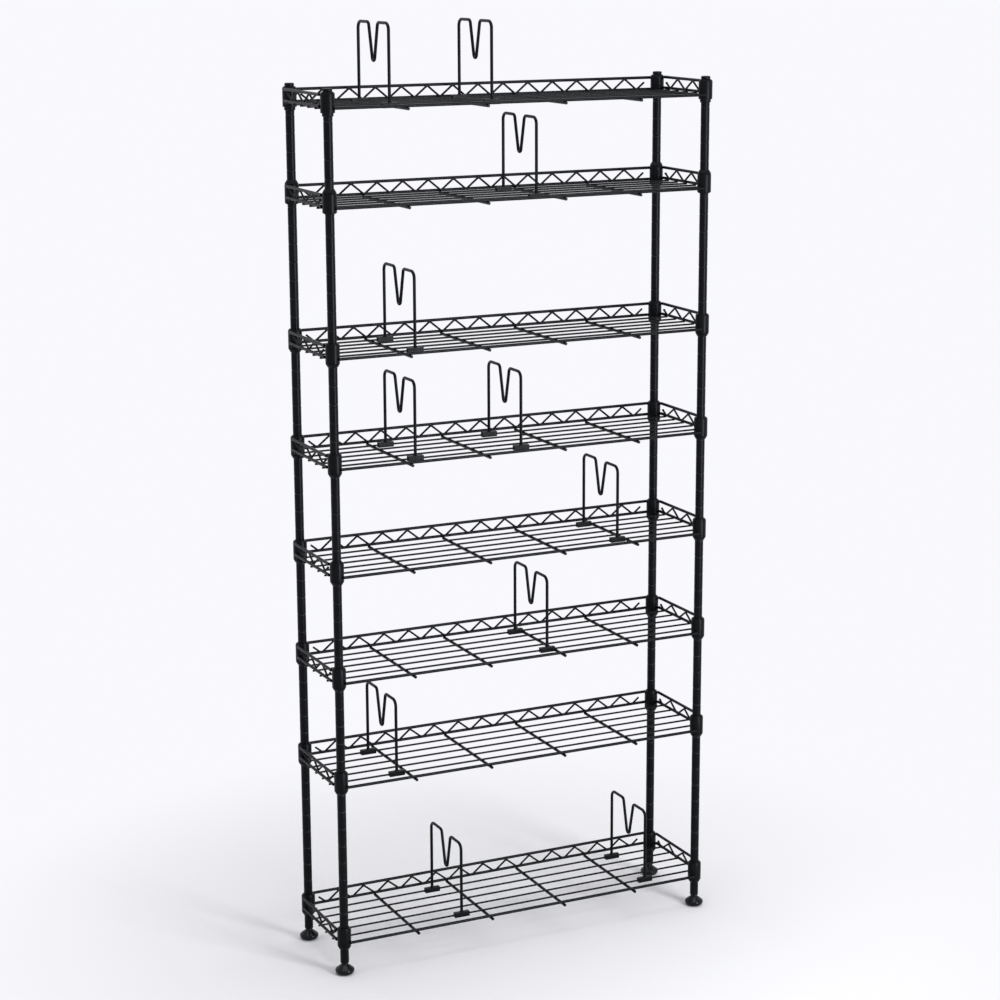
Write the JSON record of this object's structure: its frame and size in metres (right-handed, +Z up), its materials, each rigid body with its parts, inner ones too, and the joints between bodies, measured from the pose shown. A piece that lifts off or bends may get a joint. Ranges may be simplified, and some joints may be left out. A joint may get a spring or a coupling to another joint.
{
  "type": "cd dvd storage tower",
  "caption": "Narrow free-standing tower of wire shelves on grooved posts, with sliding wire dividers, for disc and film cases.",
  "frame": {"origin": "on the floor, under the middle of the whole tower's footprint", "axes": "+Z up, -Y towards the open front, +X to the right when facing the front"},
  "size_m": [0.612, 0.1704, 1.3549],
  "materials": {
    "coated_steel": "satin black powder coat with a faint metallic grain",
    "black_plastic": "moulded black, satin",
    "foot_plastic": "moulded black, glossy"
  },
  "bodies": {
    "root": {"post_front_left": "coated_steel", "post_front_right": "coated_steel", "post_back_left": "coated_steel", "post_back_right": "coated_steel", "shelf_1": "coated_steel", "shelf_2": "coated_steel", "shelf_3": "coated_steel", "shelf_4": "coated_steel", "shelf_5": "coated_steel", "shelf_6": "coated_steel", "shelf_7": "coated_steel", "shelf_8": "coated_steel", "sleeve_1_front_left": "black_plastic", "sleeve_1_front_right": "black_plastic", "sleeve_1_back_left": "black_plastic", "sleeve_1_back_right": "black_plastic", "sleeve_2_front_left": "black_plastic", "sleeve_2_front_right": "black_plastic", "sleeve_2_back_left": "black_plastic", "sleeve_2_back_right": "black_plastic", "sleeve_3_front_left": "black_plastic", "sleeve_3_front_right": "black_plastic", "sleeve_3_back_left": "black_plastic", "sleeve_3_back_right": "black_plastic", "sleeve_4_front_left": "black_plastic", "sleeve_4_front_right": "black_plastic", "sleeve_4_back_left": "black_plastic", "sleeve_4_back_right": "black_plastic", "sleeve_5_front_left": "black_plastic", "sleeve_5_front_right": "black_plastic", "sleeve_5_back_left": "black_plastic", "sleeve_5_back_right": "black_plastic", "sleeve_6_front_left": "black_plastic", "sleeve_6_front_right": "black_plastic", "sleeve_6_back_left": "black_plastic", "sleeve_6_back_right": "black_plastic", "sleeve_7_front_left": "black_plastic", "sleeve_7_front_right": "black_plastic", "sleeve_7_back_left": "black_plastic", "sleeve_7_back_right": "black_plastic", "sleeve_8_front_left": "black_plastic", "sleeve_8_front_right": "black_plastic", "sleeve_8_back_left": "black_plastic", "sleeve_8_back_right": "black_plastic"},
    "divider_1_left": {"divider_1_left": "coated_steel"},
    "divider_1_right": {"divider_1_right": "coated_steel"},
    "divider_2": {"divider_2": "coated_steel"},
    "divider_3": {"divider_3": "coated_steel"},
    "divider_4_left": {"divider_4_left": "coated_steel"},
    "divider_4_right": {"divider_4_right": "coated_steel"},
    "divider_5": {"divider_5": "coated_steel"},
    "divider_6": {"divider_6": "coated_steel"},
    "divider_7": {"divider_7": "coated_steel"},
    "divider_8_left": {"divider_8_left": "coated_steel"},
    "divider_8_right": {"divider_8_right": "coated_steel"},
    "foot_front_left": {"foot_front_left": "foot_plastic"},
    "foot_front_right": {"foot_front_right": "foot_plastic"},
    "foot_back_left": {"foot_back_left": "foot_plastic"},
    "foot_back_right": {"foot_back_right": "foot_plastic"}
  },
  "joints": [
    {"name": "divider_1_left_slide", "type": "slide", "parent": "root", "child": "divider_1_left", "axis": [1, 0, 0], "range_m": [-0.08943, 0]},
    {"name": "divider_1_right_slide", "type": "slide", "parent": "root", "child": "divider_1_right", "axis": [1, 0, 0], "range_m": [-0.00528, 0.08574]},
    {"name": "divider_2_slide", "type": "slide", "parent": "root", "child": "divider_2", "axis": [1, 0, 0], "range_m": [-0.07427, 0.01675]},
    {"name": "divider_3_slide", "type": "slide", "parent": "root", "child": "divider_3", "axis": [1, 0, 0], "range_m": [-0.00446, 0.08656]},
    {"name": "divider_4_left_slide", "type": "slide", "parent": "root", "child": "divider_4_left", "axis": [1, 0, 0], "range_m": [-0.00282, 0.08819]},
    {"name": "divider_4_right_slide", "type": "slide", "parent": "root", "child": "divider_4_right", "axis": [1, 0, 0], "range_m": [-0.04897, 0.04205]},
    {"name": "divider_5_slide", "type": "slide", "parent": "root", "child": "divider_5", "axis": [1, 0, 0], "range_m": [-0.08756, 0.00346]},
    {"name": "divider_6_slide", "type": "slide", "parent": "root", "child": "divider_6", "axis": [1, 0, 0], "range_m": [-0.09102, 0]},
    {"name": "divider_7_slide", "type": "slide", "parent": "root", "child": "divider_7", "axis": [1, 0, 0], "range_m": [-0.08558, 0.00385]},
    {"name": "divider_8_left_slide", "type": "slide", "parent": "root", "child": "divider_8_left", "axis": [1, 0, 0], "range_m": [-0.06863, 0.02239]},
    {"name": "divider_8_right_slide", "type": "slide", "parent": "root", "child": "divider_8_right", "axis": [1, 0, 0], "range_m": [-0.01932, 0.07011]},
    {"name": "foot_front_left_levelling", "type": "slide", "parent": "root", "child": "foot_front_left", "axis": [0, 0, -1], "range_m": [0, 0.01]},
    {"name": "foot_front_right_levelling", "type": "slide", "parent": "root", "child": "foot_front_right", "axis": [0, 0, -1], "range_m": [0, 0.01]},
    {"name": "foot_back_left_levelling", "type": "slide", "parent": "root", "child": "foot_back_left", "axis": [0, 0, -1], "range_m": [0, 0.01]},
    {"name": "foot_back_right_levelling", "type": "slide", "parent": "root", "child": "foot_back_right", "axis": [0, 0, -1], "range_m": [0, 0.01]}
  ]
}
